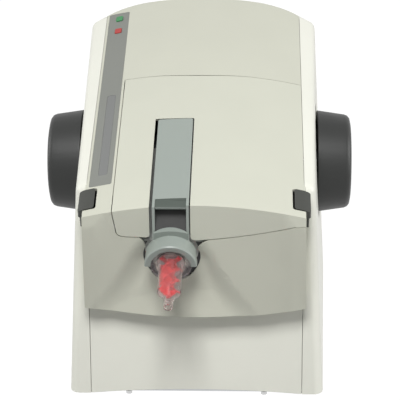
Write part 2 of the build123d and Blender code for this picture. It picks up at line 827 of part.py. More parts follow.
# Locking lever: arm that follows the roof, two walls down to the collar and a strap across them
lever_x = (tip_x - lever_width / 2, tip_x + lever_width / 2)
side_wall = 2.6
inner_x = (lever_x[0] + side_wall, lever_x[1] - side_wall)
arm_front_u = 12.4
arm_rear_u = lever_pivot_u + lever_barrel_r + 0.2
with BuildPart() as strap:
    with BuildSketch(deck_at(0, 0, -19.5)):
        with BuildLine():
            ThreePointArc(
                (inner_x[0] - 1, strap_rear_u - 4.6), (tip_x, strap_rear_u), (inner_x[1] + 1, strap_rear_u - 4.6)
            )
            Polyline(
                (inner_x[1] + 1, strap_rear_u - 4.6), (inner_x[1] + 1, strap_front_u),
                (inner_x[0] - 1, strap_front_u), (inner_x[0] - 1, strap_rear_u - 4.6),
            )
        make_face()
    extrude(amount=20)
    add(along_rod((-40, 20), tip_x, strap_top_n - strap_r, strap_r), mode=Mode.INTERSECT)
with BuildPart() as locking_lever:
    with BuildSketch(side_at(lever_x[0])):
        Polygon(
            (lever_pivot_u, lever_pivot_n - 3.0), (26, 5.0), (12, -3.5), (0, -13.5), (-8.3, -19.4),
            (-8.6, -24), (-14, -24), (-14, -22.3), (-10.3, -22.3), (0.6, 14.6), (0.6, 30), (lever_pivot_u, 30),
            align=None,
        )
    extrude(amount=lever_width)
    add(deck_box(lever_x, (lever_pivot_u - 8, arm_rear_u), (lever_pivot_n, 30)))
    add(cross_rod(lever_x, lever_pivot_u, lever_pivot_n, lever_barrel_r))
    add(roof_form(-lever_rise), mode=Mode.INTERSECT)
    add(deck_box((lever_x[0] - 0.6, lever_x[1] + 0.6), (-100, arm_rear_u), (-60, 40), 3.0), mode=Mode.INTERSECT)
    add(
        deck_box(inner_x, (26, 122), (-30, 30), 3) & roof_form(-lever_rise + 3.0),
        mode=Mode.SUBTRACT,
    )
    add(deck_box(inner_x, (-30, arm_front_u), (-40, 40)), mode=Mode.SUBTRACT)
    add(
        deck_box((post_x[0] - 0.6, post_x[1] + 0.6), (lever_pivot_u - 14, lever_pivot_u + 12), (-40, lever_pivot_n + 4.0)),
        mode=Mode.SUBTRACT,
    )
    add(cross_rod(lever_x, lever_pivot_u, lever_pivot_n, lever_pin_r + 0.15), mode=Mode.SUBTRACT)
    add(strap.part)
    add(along_rod((-40, 12), tip_x, tip_n, collar_bore_r + 0.6), mode=Mode.SUBTRACT)
    add(collar.part)
keep(locking_lever, "locking_lever")

# Finger pad: dark insert with the hooded pad and the sloping tray under it
with BuildPart() as finger_pad:
    with BuildSketch(side_at(inner_x[0] + 0.1)):
        Polygon(
            (arm_front_u - 0.1, 20), (10, 14.1), (2.1, 12.3), (0.7, 11.5), (0.4, 10.4), (1.2, 9.6), (9.4, 10.8),
            (10.8, 9.4), (10.2, 4.6), (9.0, 3.4), (-4.4, -9.8), (-10.3, -15.4), (-10.3, -17.0), (-4, -12.0),
            (11.2, 2.0), (arm_front_u - 0.1, 5.4),
            align=None,
        )
    extrude(amount=inner_x[1] - inner_x[0] - 0.2)
    add(roof_form(0.3 - lever_rise), mode=Mode.INTERSECT)
    add(strap.part, mode=Mode.SUBTRACT)
keep(finger_pad, "finger_pad")

# Plungers: discs on toothed racks, joined by a crosshead that also moves the level pointer
disc_front = barrel_rear_u + 3.0
rack_front = disc_front + disc_thick
rack_rear = 341.0
rack_pitch = math.pi * gear_module
rack_top = rack_pitch_n + rack_height - 2.0
tip_half = rack_pitch / 4 - backlash / 4 - gear_module * math.tan(math.radians(20))
root_half = rack_pitch / 4 - backlash / 4 + 1.25 * gear_module * math.tan(math.radians(20))


def rack_outline():
    """Side view of a rack with its teeth facing down."""
    tip = rack_pitch_n - gear_module
    root = rack_pitch_n + 1.25 * gear_module
    points = [(rack_front - 1, rack_top), (rack_front - 1, root)]
    k = math.ceil((rack_front + 2 - shaft_u) / rack_pitch)
    while shaft_u + (k + 0.5) * rack_pitch + root_half < rack_rear - 1:
        middle = shaft_u + (k + 0.5) * rack_pitch
        points += [
            (middle - root_half, root),
            (middle - tip_half, tip),
            (middle + tip_half, tip),
            (middle + root_half, root),
        ]
        k += 1
    return points + [(rack_rear, root), (rack_rear, rack_top)]


for name, x, radius in (
    ("large_plunger", large_x, large_bore_r),
    ("small_plunger", small_x, small_bore_r),
):
    with BuildPart() as plunger:
        add(along_rod((disc_front, rack_front), x, tip_n, radius - disc_clearance))
        chamfer(plunger.edges().filter_by(GeomType.CIRCLE), length=0.8)
        with BuildSketch(side_at(x - rack_width / 2)):
            Polygon(*rack_outline(), align=None)
        extrude(amount=rack_width)
    keep(plunger, name)

# Crosshead on top of the racks, with the arm of the level pointer
cross_u = (rack_rear - 14.0, rack_rear)
pointer_u = window_u[1] - 4.4
arm_n = (-14.0, -11.0)
with BuildPart() as crosshead:
    add(deck_box((small_x - 8, large_x + 8), cross_u, (rack_top, rack_top + 7), 2))
    add(deck_box((small_x - 8, small_x - 6), (cross_u[0] + 2, cross_u[1] - 2), (rack_top, arm_n[0] + 2)))
    add(deck_box((key_x - 4, small_x - 6), (cross_u[0] + 2, cross_u[1] - 2), (arm_n[0], arm_n[0] + 2)))
    add(deck_box((key_x - 4, key_x - 2), (pointer_u, cross_u[1] - 2), arm_n))
keep(crosshead, "crosshead")

with BuildPart() as level_pointer:
    add(deck_box((key_x - 1.9, key_x + 0.6), (pointer_u, pointer_u + 6), arm_n))
    add(
        deck_box((key_x - 1.4, key_x + 1.6), (pointer_u, pointer_u + 3), (arm_n[0], 20))
        - roof_form(strip_thick + 0.6 + 40)
        & roof_form(strip_thick + 0.6)
    )
keep(level_pointer, "level_pointer")

# Cross shaft with its pinions and the large drive gear
shaft_reach = 155.0
with BuildPart() as cross_shaft:
    add(axle_rod((-shaft_reach, shaft_reach), shaft_r))
    chamfer(cross_shaft.edges().filter_by(GeomType.CIRCLE), length=0.8)
keep(cross_shaft, "cross_shaft")

for name, x in (("large_pinion", large_x), ("small_pinion", small_x)):
    with BuildPart() as pinion:
        with BuildSketch(side_at(x - pinion_width / 2, shaft_u, shaft_n)):
            Polygon(*gear_outline(gear_module, pinion_teeth, 90), align=None)
            Circle(shaft_r + running, mode=Mode.SUBTRACT)
            with PolarLocations(17, 6):
                Circle(5.0, mode=Mode.SUBTRACT)
        extrude(amount=pinion_width)
        with BuildSketch(side_at(x - pinion_width / 2 - 5, shaft_u, shaft_n)):
            Circle(10)
            Circle(shaft_r + running, mode=Mode.SUBTRACT)
        extrude(amount=5.5)
    keep(pinion, name)

with BuildPart() as drive_gear:
    with BuildSketch(side_at(drive_gear_x, shaft_u, shaft_n)):
        Polygon(*gear_outline(drive_module, drive_teeth, -90 - deck_slope), align=None)
        Circle(shaft_r + running, mode=Mode.SUBTRACT)
        with PolarLocations(25, 6):
            Circle(8.5, mode=Mode.SUBTRACT)
    extrude(amount=drive_gear_width)
    with BuildSketch(side_at(drive_gear_x, shaft_u, shaft_n)):
        Circle(12)
        Circle(shaft_r + running, mode=Mode.SUBTRACT)
    extrude(amount=drive_gear_width + 6)
keep(drive_gear, "drive_gear")

# Drive motor under the cartridge bay
motor_z = shaft_z - drive_gear_r - motor_gear_r
motor_x = (-2.0, bay_right + running)
with BuildPart() as drive_motor:
    add(axle_rod(motor_x, 18.0, motor_z))
    chamfer(drive_motor.edges().filter_by(GeomType.CIRCLE), length=1.5)
    add(axle_rod((motor_x[0] - 14, motor_x[0] + 1), 14.0, motor_z))
keep(drive_motor, "drive_motor")

with BuildPart() as motor_pinion:
    with BuildSketch(Plane.YZ.offset(drive_gear_x - 1)):
        with Locations((shaft_y, motor_z)):
            Polygon(*gear_outline(drive_module, motor_teeth, 90 + 180 / motor_teeth), align=None)
    extrude(amount=drive_gear_width + 2)
    add(axle_rod((motor_x[1] + 0.3, drive_gear_x), 3.0, motor_z))
keep(motor_pinion, "motor_pinion")

# Bay frame: bed of the cartridge bay with slots for the pinions
bay_u = (-8.0, 338.0)
bay_wall_top = -16.0
bay_front_top = -21.0
mask_clear = world_box((-150, 150), (deck_y - 60, deck_y - 0.2), (150, 300))
with BuildPart() as bay_frame:
    add(deck_box((bay_left, bay_right), bay_u, (bay_floor_n - bay_sheet, bay_floor_n)))
    add(deck_box((bay_left, bay_left + bay_sheet), bay_u, (bay_floor_n - bay_sheet, bay_wall_top)))
    add(deck_box((bay_right - bay_sheet, bay_right), bay_u, (bay_floor_n - bay_sheet, bay_wall_top)))
    for x in (large_x, small_x):
        add(
            deck_box(
                (x - pinion_width / 2 - 7, x + pinion_width / 2 + 2),
                (shaft_u - 36, shaft_u + 36),
                (bay_floor_n - 10, bay_floor_n + 10),
                3,
            ),
            mode=Mode.SUBTRACT,
        )
    # Low cradle ribs that carry the cartridge
    for u in (12.0, 118.0):
        add(deck_box((bay_left + 1, bay_right - 1), (u, u + 3), (bay_floor_n - 0.5, tip_n - 8)))
        for x, radius in ((large_x, large_bore_r), (small_x, small_bore_r)):
            add(along_rod((u - 1, u + 4), x, tip_n, radius + barrel_wall + 0.3), mode=Mode.SUBTRACT)
    add(mask_clear, mode=Mode.SUBTRACT)
keep(bay_frame, "bay_frame")

with BuildPart() as bay_front_plate:
    add(deck_box((bay_left, bay_right), (bay_u[0] - 2.9, bay_u[0] - 0.4), (bay_floor_n - bay_sheet, bay_front_top)))
    add(mask_clear, mode=Mode.SUBTRACT)
    add(along_rod((-20, 0), tip_x, tip_n, collar_outer_r + 0.8), mode=Mode.SUBTRACT)
    add(deck_box((tip_x - 19, tip_x + 19), (-20, 0), (tip_n, 0)), mode=Mode.SUBTRACT)
keep(bay_front_plate, "bay_front_plate")

with BuildPart() as rack_guides:
    for x in (large_x, small_x):
        add(deck_box((x - 9, x + 9), (232, 252), (bay_floor_n, rack_top - 3), 2))
        add(
            deck_box(
                (x - rack_width / 2 - 0.3, x + rack_width / 2 + 0.3), (230, 256), (rack_pitch_n - gear_module - 0.3, 0)
            ),
            mode=Mode.SUBTRACT,
        )
keep(rack_guides, "rack_guides")

# Frame plates that carry the bay, the shaft bearings and the motor
base_top = 8.0
for name, low in (("left_frame_plate", bay_left - plate_thick - 0.1), ("right_frame_plate", bay_right + 0.1)):
    with BuildPart() as plate:
        with BuildSketch(Plane.YZ.offset(low)):
            Polygon(
                (-88, base_top),
                (168, base_top),
                (188, spot(0, 330, -24).Z),
                (spot(0, 330, -24).Y, spot(0, 330, -24).Z),
                (spot(0, 24, -24).Y, spot(0, 24, -24).Z),
                (spot(0, 24, -70).Y, spot(0, 24, -70).Z),
                (-91, front_panel_top + 4),
                align=None,
            )
            with Locations((-20, 80)):
                SlotOverall(80, 46, mode=Mode.SUBTRACT)
            with Locations((120, 120)):
                RectangleRounded(60, 130, 10, mode=Mode.SUBTRACT)
            with Locations((shaft_y, shaft_z)):
                Circle(9.0, mode=Mode.SUBTRACT)
            with Locations((shaft_y, motor_z)):
                Circle(7.0, mode=Mode.SUBTRACT)
        extrude(amount=plate_thick)
    keep(plate, name)

bearing_spots = ((bay_left - plate_thick - 0.1, -1), (bay_right + 0.1 + plate_thick, 1))
with BuildPart() as shaft_bearings:
    for x, side in bearing_spots:
        barrel = (x - 0.1 - 6, x - 0.1) if side < 0 else (x + 0.1, x + 0.6)
        collar = (x - 2.1, x - 0.1) if side < 0 else (x + 0.1, x + 2.1)
        add(axle_rod(collar, 13))
        inner = (x - 0.2, x + plate_thick) if side < 0 else (x - plate_thick, x + 0.2)
        add(axle_rod(inner, 8.9))
    add(axle_rod((-150, 150), shaft_r + 0.1), mode=Mode.SUBTRACT)
keep(shaft_bearings, "shaft_bearings")

# Base plate, feet and screws
with BuildPart() as base_plate:
    add(body_form(wall + 0.5) & world_box((-200, 200), (-200, 260), (5, base_top)))
    with BuildSketch(Plane.XY.offset(0)):
        with Locations((40, 60)):
            with GridLocations(0, 9, 1, 8):
                SlotOverall(60, 4)
    extrude(amount=20, mode=Mode.SUBTRACT)
    with BuildSketch(Plane.XY):
        with Locations((-70, front_y + 6), (70, front_y + 6)):
            Circle(1.6)
    extrude(amount=20, mode=Mode.SUBTRACT)
keep(base_plate, "base_plate")

foot_front_y = front_y + 15
foot_rear_y = rear_y - 24
foot_spots = ((-113, foot_front_y), (113, foot_front_y), (-118, foot_rear_y), (118, foot_rear_y))
with BuildPart() as rubber_feet:
    for x, y in foot_spots:
        with Locations((x, y, 0)):
            Cylinder(8, 4.9, align=(Align.CENTER, Align.CENTER, Align.MIN))
    chamfer(rubber_feet.edges().group_by(Axis.Z)[0], length=1.0)
keep(rubber_feet, "rubber_feet")

with BuildPart() as panel_screws:
    for x in (-70, 70):
        with Locations((x, front_y + 6, 1.6)):
            Cylinder(3.2, 3.3, align=(Align.CENTER, Align.CENTER, Align.MIN))
        with Locations((x, front_y + 6, 4.8)):
            Cylinder(1.5, 3.0, align=(Align.CENTER, Align.CENTER, Align.MIN))
keep(panel_screws, "panel_screws")

# Handwheels on the ends of the cross shaft
for side, name in ((-1, "left_handwheel"), (1, "right_handwheel")):
    with BuildPart() as handwheel:
        with BuildSketch(Plane.XY.offset(shaft_z)) as profile:
            with Locations((0, shaft_y)):
                Polygon(
                    (side * wheel_inner_x, 0.001),
                    (side * wheel_inner_x, 11),
                    (side * (wheel_outer_x - 8), 11),
                    (side * (wheel_outer_x - 8), wheel_rim_r - 8),
                    (side * (wheel_outer_x - 12), wheel_rim_r - 5),
                    (side * wheel_inner_x, wheel_r - 4),
                    (side * wheel_inner_x, wheel_r - 0.6),
                    (side * (wheel_inner_x + 0.8), wheel_r),
                    (side * (wheel_outer_x - 7.5), wheel_rim_r + 0.2),
                    (side * (wheel_outer_x - 4.2), wheel_rim_r - 1.2),
                    (side * (wheel_outer_x - 2.2), wheel_rim_r - 3.8),
                    (side * (wheel_outer_x - 1.2), wheel_rim_r - 8.5),
                    (side * wheel_outer_x, 0.001),
                    align=None,
                )
        revolve(axis=Axis((0, shaft_y, shaft_z), (1, 0, 0)))
        blind = (100, shaft_reach + 0.3) if side > 0 else (-shaft_reach - 0.3, -100)
        add(axle_rod(blind, shaft_r + running), mode=Mode.SUBTRACT)
    keep(handwheel, name)

# Start buttons with a tail over the nose's side, and their switches
for side, name in ((-1, "left_start_button"), (1, "right_start_button")):
    with BuildPart() as button:
        add(button_prism(side, 0, 0, -9.5))
        add(roof_form(-button_rise), mode=Mode.INTERSECT)
        inner = (button_inner_x + 2, button_outer_x - 2)
        hollow = inner if side > 0 else (-inner[1], -inner[0])
        add(
            deck_box(hollow, (button_front_u + 2, button_rear_u - 2), (-20, 30), 1.5) & roof_form(2.0),
            mode=Mode.SUBTRACT,
        )
        stem = (101.2, 105.0) if side > 0 else (-105.0, -101.2)
        add(deck_box(stem, (26, 31), (-17, 1)) & roof_form(1.0))
        low_x = core_half + 2.0 if side > 0 else -core_half - 4.2
        with BuildSketch(side_at(low_x)):
            Polygon(
                (button_front_u + 2.5, -3), (button_front_u + 1.5, -22), (button_front_u + 6, -26),
                (button_rear_u - 12, -5), (button_rear_u - 12, -3),
                align=None,
            )
        extrude(amount=2.2)
    keep(button, name)

for side, name in ((-1, "left_button_switch"), (1, "right_button_switch")):
    body = (98.5, core_half - wall + 0.9) if side > 0 else (-core_half + wall - 0.9, -98.5)
    with BuildPart() as switch:
        add(deck_box(body, (20, 37), (-34, -20.5), 1.5))
        plunger = (101.4, 104.8) if side > 0 else (-104.8, -101.4)
        add(deck_box(plunger, (26.5, 30.5), (-21, -19.6)))
    keep(switch, name)

# Key board under the two keys
with BuildPart() as key_board:
    add(deck_box((-106, -85), (308, 354), (-9.4, -7.8)))
    for u in key_places.values():
        add(deck_box((key_x - 3, key_x + 3), (u - 3, u + 3), (-8, -5.0)))
    for x in (-103.0, -87.0):
        add(deck_box((x - 2, x + 2), (329, 333), (-8, 20)) & roof_form(wall + 0.3))
keep(key_board, "key_board")

# Mains inlet, power switch, power supply and control board
with BuildPart() as mains_inlet:
    with BuildSketch(Plane.XZ.offset(-rear_y)):
        with Locations((inlet_x, inlet_z)):
            RectangleRounded(40, 26, 3)
    extrude(amount=-3.0)
    with BuildSketch(Plane.XZ.offset(-rear_y)):
        with Locations((inlet_x, inlet_z)):
            RectangleRounded(27.8, 20.2, 2.6)
    extrude(amount=22)
    with BuildSketch(Plane.XZ.offset(-rear_y - 4)):
        with Locations((inlet_x, inlet_z)):
            RectangleRounded(24, 16.6, 2.4)
    extrude(amount=20, mode=Mode.SUBTRACT)
    for x, z in ((inlet_x - 7, inlet_z - 1.5), (inlet_x, inlet_z + 2.5), (inlet_x + 7, inlet_z - 1.5)):
        add(world_box((x - 1, x + 1), (rear_y - 18, rear_y - 1), (z - 2, z + 2)))
keep(mains_inlet, "mains_inlet")

rocker_y = rear_y - 3.5
rocker_axle_r = 1.2
with BuildPart() as power_switch:
    with BuildSketch(Plane.XZ.offset(-rear_y)):
        with Locations((switch_x, inlet_z)):
            Rectangle(23, 16.5)
            Rectangle(16, 10, mode=Mode.SUBTRACT)
    extrude(amount=-1.6)
    with BuildSketch(Plane.XZ.offset(-rear_y)):
        with Locations((switch_x, inlet_z)):
            Rectangle(19.2, 13.0)
            Rectangle(16, 10, mode=Mode.SUBTRACT)
    extrude(amount=14)
    with BuildSketch(Plane.YZ.offset(switch_x - 9.0)):
        with Locations((rocker_y, inlet_z)):
            Circle(rocker_axle_r + 0.1)
    extrude(amount=18.0, mode=Mode.SUBTRACT)
keep(power_switch, "power_switch")

with BuildPart() as power_rocker:
    with BuildSketch(Plane.YZ.offset(switch_x - 7.7)):
        with Locations((rocker_y, inlet_z)):
            Polygon((-5, -3.2), (3.6, -4.0), (4.5, -3.8), (4.2, 0), (6.4, 3.9), (5.4, 4.0), (-5, 3.2), align=None)
    extrude(amount=15.4)
    with BuildSketch(Plane.YZ.offset(switch_x - 8.8)):
        with Locations((rocker_y, inlet_z)):
            Circle(rocker_axle_r)
    extrude(amount=17.6)
keep(power_rocker, "power_rocker")

with BuildPart() as power_supply:
    add(world_box((-70, 40), (100, 178), (base_top, 58), 3))
    with BuildSketch(Plane.XY.offset(54)):
        with GridLocations(0, 10, 1, 6):
            with Locations((-15, 139)):
                Rectangle(80, 4)
    extrude(amount=10, mode=Mode.SUBTRACT)
keep(power_supply, "power_supply")

with BuildPart() as control_board:
    add(world_box((-60, 30), (-90, -10), (16, 17.8)))
    for x in (-55, 25):
        for y in (-85, -15):
            with Locations((x, y, base_top)):
                Cylinder(3, 8.2, align=(Align.CENTER, Align.CENTER, Align.MIN))
    add(world_box((-45, -20), (-70, -45), (17.5, 21)))
    add(world_box((0, 22), (-75, -60), (17.5, 30)))
    add(world_box((-10, 24), (-40, -28), (17.5, 26)))
keep(control_board, "control_board")
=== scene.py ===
import json
import math

import bmesh
import bpy
from mathutils import Matrix, Vector
from mathutils.bvhtree import BVHTree


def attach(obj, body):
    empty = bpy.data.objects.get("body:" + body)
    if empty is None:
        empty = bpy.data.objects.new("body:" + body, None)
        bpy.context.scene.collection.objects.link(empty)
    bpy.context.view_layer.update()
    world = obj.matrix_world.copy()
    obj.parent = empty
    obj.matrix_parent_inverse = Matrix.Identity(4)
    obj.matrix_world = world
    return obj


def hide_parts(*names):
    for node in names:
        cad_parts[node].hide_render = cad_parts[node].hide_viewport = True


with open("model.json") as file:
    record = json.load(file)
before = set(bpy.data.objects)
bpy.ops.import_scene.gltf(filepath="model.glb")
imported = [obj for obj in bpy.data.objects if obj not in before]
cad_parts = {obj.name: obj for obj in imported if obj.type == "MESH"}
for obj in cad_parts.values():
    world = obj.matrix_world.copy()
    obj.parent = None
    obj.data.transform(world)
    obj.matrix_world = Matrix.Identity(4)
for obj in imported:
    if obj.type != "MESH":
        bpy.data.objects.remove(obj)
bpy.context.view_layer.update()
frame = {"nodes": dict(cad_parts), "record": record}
nodes = frame["nodes"]
nodeBody = {n: b for b, members in frame["record"]["behaviour"]["bodies"].items() for n in members}
scene = bpy.context.scene
scene.view_settings.view_transform = "Standard"
mm = 0.001

# Camera at the photograph's place: metres and degrees in the frame of the part
camera = {
    "target": Vector((0.0007, 0.02085, 0.1614)),
    "distance": 1.829,
    "elevation": 23.0,
    "turn": 2.03,
    "roll": -0.55,
    "focalPixels": 1700.0,
    "photoSide": 400.0,
    "sensor": 36.0,                        # millimetres
    "clipEnd": 30,
}


def aimCamera():
    turn = math.radians(camera["turn"])
    tilt = math.radians(camera["elevation"])
    roll = math.radians(camera["roll"])
    forward = Vector((-math.sin(turn) * math.cos(tilt), math.cos(turn) * math.cos(tilt), -math.sin(tilt)))
    level = Vector((math.cos(turn), math.sin(turn), 0))
    upright = level.cross(forward)
    right = level * math.cos(roll) + upright * math.sin(roll)
    up = upright * math.cos(roll) - level * math.sin(roll)
    data = bpy.data.cameras.new("photoCamera")
    data.sensor_width = camera["sensor"]
    data.lens = camera["focalPixels"] / camera["photoSide"] * camera["sensor"]
    data.clip_end = camera["clipEnd"]
    obj = bpy.data.objects.new("photoCamera", data)
    scene.collection.objects.link(obj)
    place = camera["target"] - forward * camera["distance"]
    obj.matrix_world = Matrix((
        (right.x, up.x, -forward.x, place.x),
        (right.y, up.y, -forward.y, place.y),
        (right.z, up.z, -forward.z, place.z),
        (0, 0, 0, 1),
    ))
    scene.camera = obj


aimCamera()
print("camera aimed")

# Studio: lamps with size, energy and place, a white floor and a pale world
studio = {
    "keyLamp": {"place": (-0.12, -1.28, 1.90), "size": 0.75, "energy": 40.5},
    "leftLamp": {"place": (-1.90, 0.20, 0.75), "size": 1.0, "energy": 12.5},
    "rightLamp": {"place": (1.90, -0.15, 0.75), "size": 1.0, "energy": 18.5},
    "lampTarget": (0, 0, 0.15),
    "worldStrength": 0.21,
    "backdropStrength": 1.0,
    "floorShade": 0.36,
    "floorGlow": 0.90,                     # share of the glow where the floor is looked at
    "glowStrength": 1.13,
    "floorSize": 8.0,
}


def areaLamp(name):
    data = bpy.data.lights.new(name, "AREA")
    data.energy = studio[name]["energy"]
    data.size = studio[name]["size"]
    obj = bpy.data.objects.new(name, data)
    scene.collection.objects.link(obj)
    obj.location = studio[name]["place"]
    obj.rotation_euler = (Vector(studio["lampTarget"]) - obj.location).to_track_quat("-Z", "Y").to_euler()


def mathNode(tree, operation):
    node = tree.nodes.new("ShaderNodeMath")
    node.operation = operation
    return node


# 1 where the camera, a reflection or clear plastic looks straight at the surface
def lookedAt(tree):
    path = tree.nodes.new("ShaderNodeLightPath")
    either = mathNode(tree, "MAXIMUM")
    tree.links.new(path.outputs["Is Camera Ray"], either.inputs[0])
    tree.links.new(path.outputs["Is Transmission Ray"], either.inputs[1])
    seen = mathNode(tree, "MAXIMUM")
    tree.links.new(either.outputs[0], seen.inputs[0])
    tree.links.new(path.outputs["Is Glossy Ray"], seen.inputs[1])
    return seen.outputs[0]


def mixInto(tree, share, dim, bright, surface):
    mix = tree.nodes.new("ShaderNodeMixShader")
    tree.links.new(share, mix.inputs[0])
    tree.links.new(dim.outputs[0], mix.inputs[1])
    tree.links.new(bright.outputs[0], mix.inputs[2])
    tree.links.new(mix.outputs[0], surface)


def whiteBackground(tree, strength):
    light = tree.nodes.new("ShaderNodeBackground")
    light.inputs["Color"].default_value = (1, 1, 1, 1)
    light.inputs["Strength"].default_value = strength
    return light


def paleWorld():
    world = bpy.data.worlds.new("paleWorld")
    world.use_nodes = True
    scene.world = world
    tree = world.node_tree
    tree.nodes.clear()
    out = tree.nodes.new("ShaderNodeOutputWorld")
    light = whiteBackground(tree, studio["worldStrength"])
    backdrop = whiteBackground(tree, studio["backdropStrength"])
    mixInto(tree, lookedAt(tree), light, backdrop, out.inputs["Surface"])


def floorWhite():
    material = bpy.data.materials.new("floorWhite")
    material.use_nodes = True
    tree = material.node_tree
    tree.nodes.clear()
    out = tree.nodes.new("ShaderNodeOutputMaterial")
    paint = tree.nodes.new("ShaderNodeBsdfDiffuse")
    paint.inputs["Color"].default_value = (studio["floorShade"],) * 3 + (1,)
    glow = tree.nodes.new("ShaderNodeEmission")
    glow.inputs["Strength"].default_value = studio["glowStrength"]
    share = mathNode(tree, "MULTIPLY")
    share.inputs[1].default_value = studio["floorGlow"]
    tree.links.new(lookedAt(tree), share.inputs[0])
    mixInto(tree, share.outputs[0], paint, glow, out.inputs["Surface"])
    return material


def studioFloor():
    bm = bmesh.new()
    bmesh.ops.create_grid(bm, x_segments=1, y_segments=1, size=studio["floorSize"])
    mesh = bpy.data.meshes.new("studioFloor")
    bm.to_mesh(mesh)
    bm.free()
    floor = bpy.data.objects.new("studioFloor", mesh)
    scene.collection.objects.link(floor)
    mesh.materials.append(floorWhite())


for name in ("keyLamp", "leftLamp", "rightLamp"):
    areaLamp(name)
paleWorld()
studioFloor()
print("studio ready")

# Plastics and rubber: colour, roughness, grain of the moulded skin (size in metres) and its depth
finishes = {
    "housingPlastic": {"color": (0.547, 0.552, 0.467), "rough": 0.38, "grain": 0.0011, "depth": 0.05},
    # A little lighter copy of the housing plastic for the lid: painted light, for the brighter light on
    # the lid
    "lidPlasticPaintedLight": {"color": (0.562, 0.569, 0.482), "rough": 0.34, "grain": 0.0011, "depth": 0.05},
    # Lighter copy of the housing plastic for the panels: the extra lightness is painted light, for the
    # brighter light that falls on them
    "panelPlasticPaintedLight": {"color": (0.752, 0.755, 0.677), "rough": 0.40, "grain": 0.0011, "depth": 0.05},
    "stripFilm": {"color": (0.200, 0.207, 0.187), "rough": 0.45, "grain": 0.0006, "depth": 0.03},
    "windowTint": {"color": (0.172, 0.177, 0.172), "rough": 0.18, "grain": 0.0010, "depth": 0.0},
    "greenKey": {"color": (0.040, 0.230, 0.080), "rough": 0.35, "grain": 0.0006, "depth": 0.04},
    "redKey": {"color": (0.400, 0.035, 0.030), "rough": 0.35, "grain": 0.0006, "depth": 0.04},
    "buttonPlastic": {"color": (0.034, 0.036, 0.030), "rough": 0.50, "grain": 0.0008, "depth": 0.10},
    "leverPlastic": {"color": (0.287, 0.322, 0.294), "rough": 0.36, "grain": 0.0009, "depth": 0.05},
    "padPlastic": {"color": (0.057, 0.072, 0.060), "rough": 0.42, "grain": 0.0008, "depth": 0.06},
    # Near-black copy of the pad plastic for the pad's tray: painted shade in the finger recess
    "trayPaintedShade": {"color": (0.012, 0.012, 0.011), "rough": 0.58, "grain": 0.0008, "depth": 0.06},
    "wheelPlastic": {"color": (0.010, 0.011, 0.010), "rough": 0.46, "grain": 0.0012, "depth": 0.10},
    "cartridgePlastic": {"color": (0.470, 0.490, 0.460), "rough": 0.40, "grain": 0.0010, "depth": 0.05},
    "pistonPlastic": {"color": (0.050, 0.055, 0.060), "rough": 0.45, "grain": 0.0010, "depth": 0.08},
    # Black plastic for the dark parts; on the bay's front plate it paints the deep shade in the gaps round
    # the collar
    "blackPlasticAndPaintedShade": {"color": (0.018, 0.018, 0.018), "rough": 0.45, "grain": 0.0010, "depth": 0.10},
    "footRubber": {"color": (0.022, 0.022, 0.022), "rough": 0.75, "grain": 0.0007, "depth": 0.20},
    "pointerPlastic": {"color": (0.600, 0.600, 0.560), "rough": 0.40, "grain": 0.0010, "depth": 0.02},
    "boardLacquer": {"color": (0.020, 0.110, 0.050), "rough": 0.30, "grain": 0.0020, "depth": 0.05},
    "gearAcetal": {"color": (0.680, 0.660, 0.580), "rough": 0.40, "grain": 0.0010, "depth": 0.03},
    "rotorRed": {"color": (0.520, 0.018, 0.020), "rough": 0.28, "grain": 0.0010, "depth": 0.03},
}
metals = {
    "sheetSteel": {"color": (0.560, 0.570, 0.580), "rough": 0.34, "grain": 0.0030},
    "turnedSteel": {"color": (0.610, 0.610, 0.610), "rough": 0.22, "grain": 0.0015},
    "gearBrass": {"color": (0.640, 0.470, 0.190), "rough": 0.30, "grain": 0.0015},
    "bearingBronze": {"color": (0.480, 0.300, 0.130), "rough": 0.35, "grain": 0.0015},
    "motorCan": {"color": (0.060, 0.060, 0.065), "rough": 0.36, "grain": 0.0020},
}
clearTip = {"color": (0.93, 0.86, 0.86), "rough": 0.22, "clear": 0.96, "bend": 1.16}
# Mottle: darkest and lightest shade as a share of the colour, and how far the roughness strays
moulding = {
    "cloudSize": 0.06, "cloudDetail": 3.0, "grainDetail": 2.0, "dark": 0.965, "light": 1.03,
    "sheenGrains": 8, "smoother": 0.04, "rougher": 0.05, "grainHeight": 0.0003,
}
brushing = {
    "stretch": (1, 12, 12), "streakGrains": 10, "detail": 4.0, "dark": 0.90, "light": 1.06,
    "smoother": 0.06, "rougher": 0.10,
}
tipMottle = {"cloudSize": 0.012, "cloudDetail": 2.0, "dark": 0.95, "light": 1.0}
materials = {}


def newFinish(name):
    material = bpy.data.materials.new(name)
    material.use_nodes = True
    tree = material.node_tree
    materials[name] = material
    return tree, tree.nodes["Principled BSDF"], tree.nodes.new("ShaderNodeTexCoord").outputs["Object"]


def noiseNode(tree, place, size, detail):
    noise = tree.nodes.new("ShaderNodeTexNoise")
    noise.inputs["Scale"].default_value = 1.0 / size
    noise.inputs["Detail"].default_value = detail
    tree.links.new(place, noise.inputs["Vector"])
    return noise.outputs["Fac"]


def mottle(tree, shader, pattern, color, marks):
    tint = tree.nodes.new("ShaderNodeMixRGB")
    tint.inputs["Color1"].default_value = tuple(c * marks["dark"] for c in color) + (1,)
    tint.inputs["Color2"].default_value = tuple(min(1, c * marks["light"]) for c in color) + (1,)
    tree.links.new(pattern, tint.inputs["Fac"])
    tree.links.new(tint.outputs["Color"], shader.inputs["Base Color"])


def varyGloss(tree, shader, pattern, rough, marks):
    spread = tree.nodes.new("ShaderNodeMapRange")
    spread.inputs["To Min"].default_value = rough - marks["smoother"]
    spread.inputs["To Max"].default_value = rough + marks["rougher"]
    tree.links.new(pattern, spread.inputs["Value"])
    tree.links.new(spread.outputs["Result"], shader.inputs["Roughness"])


